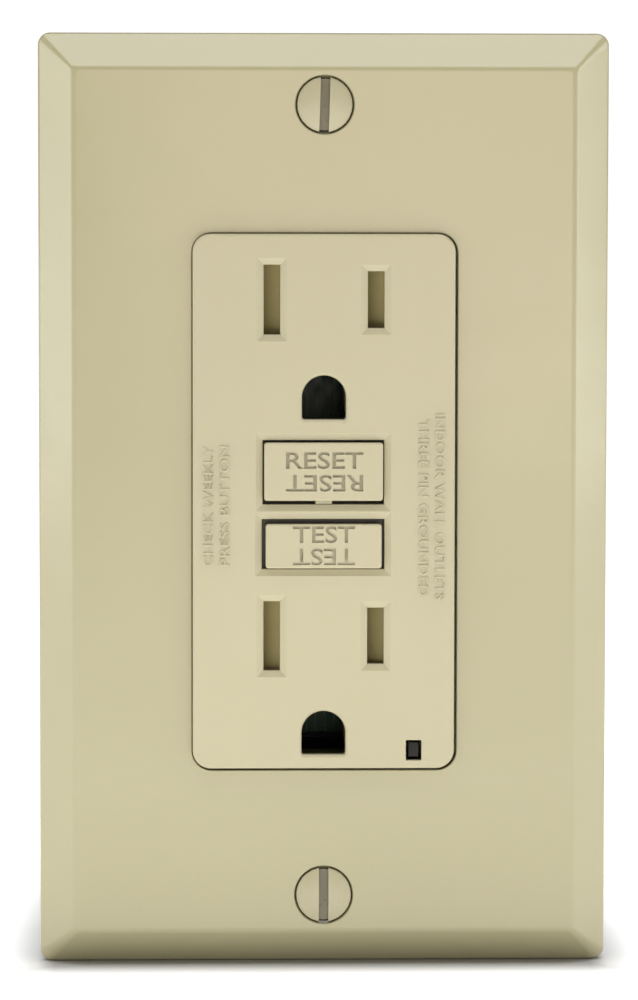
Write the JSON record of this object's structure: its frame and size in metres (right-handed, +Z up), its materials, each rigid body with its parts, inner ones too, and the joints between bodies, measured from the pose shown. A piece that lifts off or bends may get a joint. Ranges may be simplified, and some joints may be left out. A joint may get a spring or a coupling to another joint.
{
  "type": "gfci outlet",
  "caption": "Ground-fault wall outlet with two three-pin outlets, reset and test keys, status light, steel strap, terminals and a bevelled wall plate.",
  "frame": {"origin": "centre of the wall plate on the wall surface", "axes": "+Z up, +Y into the wall, +X to the right as seen from the room"},
  "size_m": [0.0698, 0.0357, 0.1142],
  "materials": {
    "ivory_plastic": "satin moulded",
    "painted_screw": "satin enamel",
    "shutter_plastic": "matte",
    "pale_plastic": "matte",
    "plated_steel": "zinc plated",
    "brass": "mill finish",
    "copper": "mill finish",
    "green_screw": "gloss",
    "board_green": "solder mask",
    "black_plastic": "fine texture",
    "ferrite": "matte",
    "blue_epoxy": "dipped",
    "amber_epoxy": "dipped",
    "clear_plastic": "clear"
  },
  "bodies": {
    "outlet": {"wall_plate": "ivory_plastic", "face_cover": "ivory_plastic", "reset_spring": "plated_steel", "light_pipe": "clear_plastic", "status_led": "amber_epoxy", "shutter_base_upper": "pale_plastic", "shutter_base_lower": "pale_plastic", "shutter_spring_upper": "plated_steel", "shutter_spring_lower": "plated_steel", "mounting_strap": "plated_steel", "ground_contact_upper": "brass", "ground_contact_lower": "brass", "box_screw_top": "plated_steel", "box_screw_bottom": "plated_steel", "screw_retainer_top": "shutter_plastic", "screw_retainer_bottom": "shutter_plastic", "separator": "pale_plastic", "load_contact_neutral": "plated_steel", "load_contact_hot": "brass", "line_terminal_neutral": "plated_steel", "line_terminal_hot": "brass", "solenoid_frame": "plated_steel", "solenoid_bobbin": "pale_plastic", "solenoid_coil": "copper", "plunger_spring": "plated_steel", "circuit_board": "board_green", "transformer_boot": "black_plastic", "differential_core": "ferrite", "grounded_neutral_core": "ferrite", "varistor": "blue_epoxy", "film_capacitor": "amber_epoxy", "control_chip": "black_plastic", "thyristor": "black_plastic", "rear_body": "black_plastic", "assembly_screw_1": "plated_steel", "assembly_screw_2": "plated_steel", "assembly_screw_3": "plated_steel", "assembly_screw_4": "plated_steel"},
    "reset_key": {"reset_button": "ivory_plastic", "reset_pin": "plated_steel"},
    "test_key": {"test_button": "ivory_plastic"},
    "test_leaf": {"test_contact_arm": "copper"},
    "upper_shutter": {"shutter_upper": "shutter_plastic"},
    "lower_shutter": {"shutter_lower": "shutter_plastic"},
    "solenoid_plunger": {"plunger": "plated_steel"},
    "trip_block": {"latch_block": "black_plastic"},
    "trip_latch": {"latch_plate": "plated_steel"},
    "neutral_arm": {"contact_arm_neutral": "copper"},
    "hot_arm": {"contact_arm_hot": "copper"},
    "ground_terminal": {"ground_screw": "green_screw"},
    "top_plate_screw": {"plate_screw_top": "painted_screw"},
    "bottom_plate_screw": {"plate_screw_bottom": "painted_screw"},
    "load_neutral_screw": {"terminal_screw_load_neutral": "plated_steel"},
    "load_neutral_clamp": {"pressure_plate_load_neutral": "plated_steel"},
    "load_hot_screw": {"terminal_screw_load_hot": "brass"},
    "load_hot_clamp": {"pressure_plate_load_hot": "brass"},
    "line_neutral_screw": {"terminal_screw_line_neutral": "plated_steel"},
    "line_neutral_clamp": {"pressure_plate_line_neutral": "plated_steel"},
    "line_hot_screw": {"terminal_screw_line_hot": "brass"},
    "line_hot_clamp": {"pressure_plate_line_hot": "brass"}
  },
  "joints": [
    {"name": "reset_press", "type": "slide", "parent": "outlet", "child": "reset_key", "axis": [0, 1, 0], "range_m": [-0.0008, 0.0015], "stiffness_N_per_m": 300, "deforming": ["reset_spring"]},
    {"name": "test_press", "type": "slide", "parent": "outlet", "child": "test_key", "axis": [0, 1, 0], "range_m": [0, 0.0012], "stiffness_N_per_m": 250},
    {"name": "test_leaf_bend", "type": "hinge", "parent": "outlet", "child": "test_leaf", "pos_m": [-0.00878, 0.0051, -0.00532], "axis": [0, 0, 1], "range_deg": [0, 14]},
    {"name": "upper_shutter_slide", "type": "slide", "parent": "outlet", "child": "upper_shutter", "axis": [1, 0, 0], "range_m": [0, 0.003], "stiffness_N_per_m": 60, "deforming": ["shutter_spring_upper"]},
    {"name": "lower_shutter_slide", "type": "slide", "parent": "outlet", "child": "lower_shutter", "axis": [1, 0, 0], "range_m": [0, 0.003], "stiffness_N_per_m": 60, "deforming": ["shutter_spring_lower"]},
    {"name": "plunger_fire", "type": "slide", "parent": "outlet", "child": "solenoid_plunger", "axis": [-1, 0, 0], "range_m": [0, 0.0016], "stiffness_N_per_m": 80, "deforming": ["plunger_spring"]},
    {"name": "trip_drop", "type": "slide", "parent": "outlet", "child": "trip_block", "axis": [0, 1, 0], "range_m": [0, 0.0015]},
    {"name": "latch_slide", "type": "slide", "parent": "trip_block", "child": "trip_latch", "axis": [-1, 0, 0], "range_m": [0, 0.0016]},
    {"name": "neutral_arm_bend", "type": "hinge", "parent": "outlet", "child": "neutral_arm", "pos_m": [-0.01198, 0.012, 0.01354], "axis": [1, 0, 0], "range_deg": [0, 9.5]},
    {"name": "hot_arm_bend", "type": "hinge", "parent": "outlet", "child": "hot_arm", "pos_m": [0.01182, 0.012, 0.01354], "axis": [1, 0, 0], "range_deg": [0, 9.5]},
    {"name": "load_neutral_clamp_open", "type": "slide", "parent": "outlet", "child": "load_neutral_clamp", "axis": [1, 0, 0], "range_m": [0, 0.00158]},
    {"name": "load_neutral_screw_turn", "type": "hinge", "parent": "outlet", "child": "load_neutral_screw", "pos_m": [-0.01808, 0.015, 0.02004], "axis": [-1, 0, 0], "range_deg": [0, 720]},
    {"name": "load_hot_clamp_open", "type": "slide", "parent": "outlet", "child": "load_hot_clamp", "axis": [-1, 0, 0], "range_m": [0, 0.00158]},
    {"name": "load_hot_screw_turn", "type": "hinge", "parent": "outlet", "child": "load_hot_screw", "pos_m": [0.01792, 0.015, 0.02004], "axis": [1, 0, 0], "range_deg": [0, 720]},
    {"name": "line_neutral_clamp_open", "type": "slide", "parent": "outlet", "child": "line_neutral_clamp", "axis": [1, 0, 0], "range_m": [0, 0.00158]},
    {"name": "line_neutral_screw_turn", "type": "hinge", "parent": "outlet", "child": "line_neutral_screw", "pos_m": [-0.01808, 0.015, -0.01996], "axis": [-1, 0, 0], "range_deg": [0, 720]},
    {"name": "line_hot_clamp_open", "type": "slide", "parent": "outlet", "child": "line_hot_clamp", "axis": [-1, 0, 0], "range_m": [0, 0.00158]},
    {"name": "line_hot_screw_turn", "type": "hinge", "parent": "outlet", "child": "line_hot_screw", "pos_m": [0.01792, 0.015, -0.01996], "axis": [1, 0, 0], "range_deg": [0, 720]},
    {"name": "ground_screw_back_out", "type": "slide", "parent": "outlet", "child": "ground_terminal", "axis": [0, 0, -1], "range_m": [0, 0.0025]},
    {"name": "top_plate_screw_turn", "type": "hinge", "parent": "outlet", "child": "top_plate_screw", "pos_m": [0, -0.005, 0.04842], "axis": [0, 1, 0], "continuous": true},
    {"name": "bottom_plate_screw_turn", "type": "hinge", "parent": "outlet", "child": "bottom_plate_screw", "pos_m": [0, -0.005, -0.04842], "axis": [0, 1, 0], "continuous": true}
  ],
  "couplings": [
    {"joint": "test_leaf_bend", "follows": "test_press", "rad_per_m": 187},
    {"joint": "latch_slide", "follows": "plunger_fire", "ratio": 1},
    {"joint": "neutral_arm_bend", "follows": "trip_drop", "rad_per_m": 100},
    {"joint": "hot_arm_bend", "follows": "trip_drop", "rad_per_m": 100},
    {"joint": "load_neutral_screw_turn", "follows": "load_neutral_clamp_open", "rad_per_m": 7915.8},
    {"joint": "load_hot_screw_turn", "follows": "load_hot_clamp_open", "rad_per_m": 7915.8},
    {"joint": "line_neutral_screw_turn", "follows": "line_neutral_clamp_open", "rad_per_m": 7915.8},
    {"joint": "line_hot_screw_turn", "follows": "line_hot_clamp_open", "rad_per_m": 7915.8}
  ]
}
